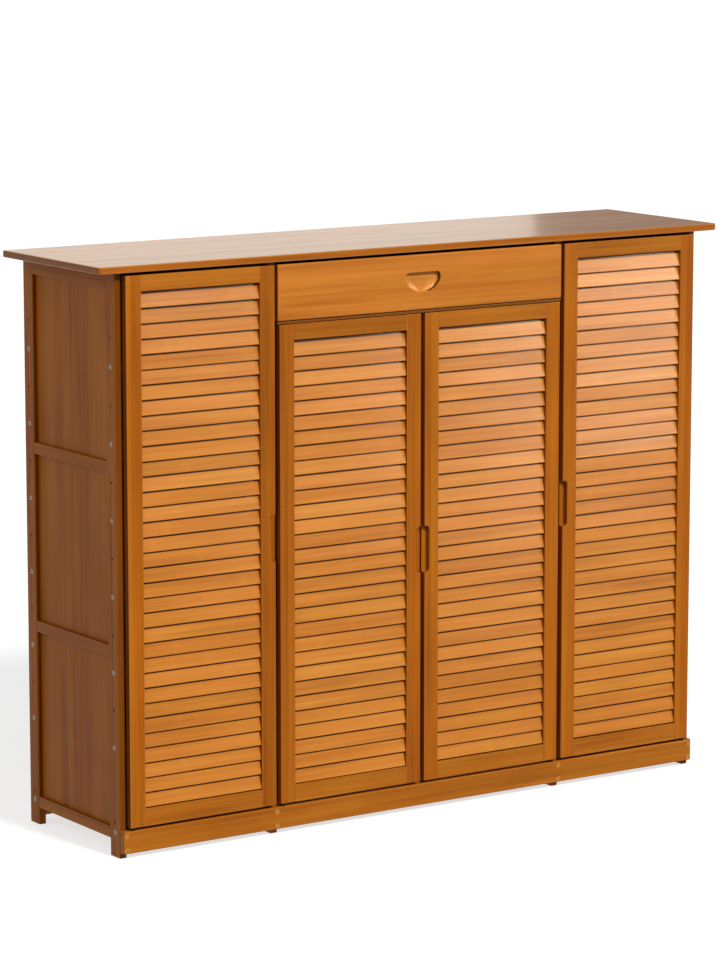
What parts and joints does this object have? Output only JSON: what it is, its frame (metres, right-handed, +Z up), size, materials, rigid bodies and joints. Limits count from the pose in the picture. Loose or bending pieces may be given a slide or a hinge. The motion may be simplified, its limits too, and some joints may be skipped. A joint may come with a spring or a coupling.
{
  "type": "shoe cabinet",
  "caption": "Free-standing shoe cabinet with hinged louvred doors, inner shelves and one wide drawer under a long overhanging top.",
  "frame": {"origin": "on the floor, under the middle of the cabinet's box", "axes": "+X to the right of a person facing the doors, doors face -Y, +Z up"},
  "size_m": [1.2, 0.302, 0.931],
  "materials": {
    "top_bamboo": "glossy stained bamboo",
    "frame_bamboo": "glossy stained bamboo",
    "side_panel_bamboo": "glossy stained bamboo",
    "door_bamboo": "glossy stained bamboo",
    "slat_bamboo": "satin stained bamboo",
    "inside_bamboo": "satin bamboo",
    "screw_steel": "zinc plated",
    "screw_bronze": "bronze plated",
    "pin_steel": "blackened steel",
    "plate_steel": "plain steel",
    "nylon": "matte",
    "dark_nylon": "matte"
  },
  "bodies": {
    "cabinet": {"top_board": "top_bamboo", "left_front_post": "frame_bamboo", "left_rear_post": "frame_bamboo", "left_side_rails": "frame_bamboo", "left_side_panels": "side_panel_bamboo", "right_front_post": "frame_bamboo", "right_rear_post": "frame_bamboo", "right_side_rails": "frame_bamboo", "right_side_panels": "side_panel_bamboo", "left_partition_front_post": "inside_bamboo", "left_partition_rear_post": "inside_bamboo", "left_partition_panel": "inside_bamboo", "right_partition_front_post": "inside_bamboo", "right_partition_rear_post": "inside_bamboo", "right_partition_panel": "inside_bamboo", "kick_rail": "frame_bamboo", "back_panels": "inside_bamboo", "back_rails": "inside_bamboo", "centre_mullion": "frame_bamboo", "deck_rail": "frame_bamboo", "deck_board": "inside_bamboo", "drawer_runners": "inside_bamboo", "left_shelves": "inside_bamboo", "centre_shelves": "inside_bamboo", "right_shelves": "inside_bamboo", "frame_screws": "screw_steel", "kick_screws": "screw_bronze", "magnet_catches": "nylon", "pivot_spacers": "dark_nylon"},
    "outer_left_door": {"outer_left_hinge_stile": "door_bamboo", "outer_left_latch_stile": "door_bamboo", "outer_left_rails": "door_bamboo", "outer_left_slats": "slat_bamboo", "outer_left_pivot_pins": "pin_steel", "outer_left_strike_plate": "plate_steel"},
    "centre_left_door": {"centre_left_hinge_stile": "door_bamboo", "centre_left_latch_stile": "door_bamboo", "centre_left_rails": "door_bamboo", "centre_left_slats": "slat_bamboo", "centre_left_pivot_pins": "pin_steel", "centre_left_strike_plate": "plate_steel"},
    "centre_right_door": {"centre_right_hinge_stile": "door_bamboo", "centre_right_latch_stile": "door_bamboo", "centre_right_rails": "door_bamboo", "centre_right_slats": "slat_bamboo", "centre_right_pivot_pins": "pin_steel", "centre_right_strike_plate": "plate_steel"},
    "outer_right_door": {"outer_right_hinge_stile": "door_bamboo", "outer_right_latch_stile": "door_bamboo", "outer_right_rails": "door_bamboo", "outer_right_slats": "slat_bamboo", "outer_right_pivot_pins": "pin_steel", "outer_right_strike_plate": "plate_steel"},
    "drawer": {"drawer_front": "door_bamboo", "drawer_left_side": "inside_bamboo", "drawer_right_side": "inside_bamboo", "drawer_back": "inside_bamboo", "drawer_bottom": "inside_bamboo", "drawer_screws": "screw_steel"}
  },
  "joints": [
    {"name": "outer_left_door_swing", "type": "hinge", "parent": "cabinet", "child": "outer_left_door", "pos_m": [-0.545, -0.142, 0.05], "axis": [0, 0, -1], "range_deg": [0, 110]},
    {"name": "centre_left_door_swing", "type": "hinge", "parent": "cabinet", "child": "centre_left_door", "pos_m": [-0.2665, -0.142, 0.05], "axis": [0, 0, -1], "range_deg": [0, 110]},
    {"name": "centre_right_door_swing", "type": "hinge", "parent": "cabinet", "child": "centre_right_door", "pos_m": [0.2665, -0.142, 0.05], "axis": [0, 0, 1], "range_deg": [0, 110]},
    {"name": "outer_right_door_swing", "type": "hinge", "parent": "cabinet", "child": "outer_right_door", "pos_m": [0.545, -0.142, 0.05], "axis": [0, 0, 1], "range_deg": [0, 110]},
    {"name": "drawer_slide", "type": "slide", "parent": "cabinet", "child": "drawer", "axis": [0, -1, 0], "range_m": [0, 0.18]}
  ]
}
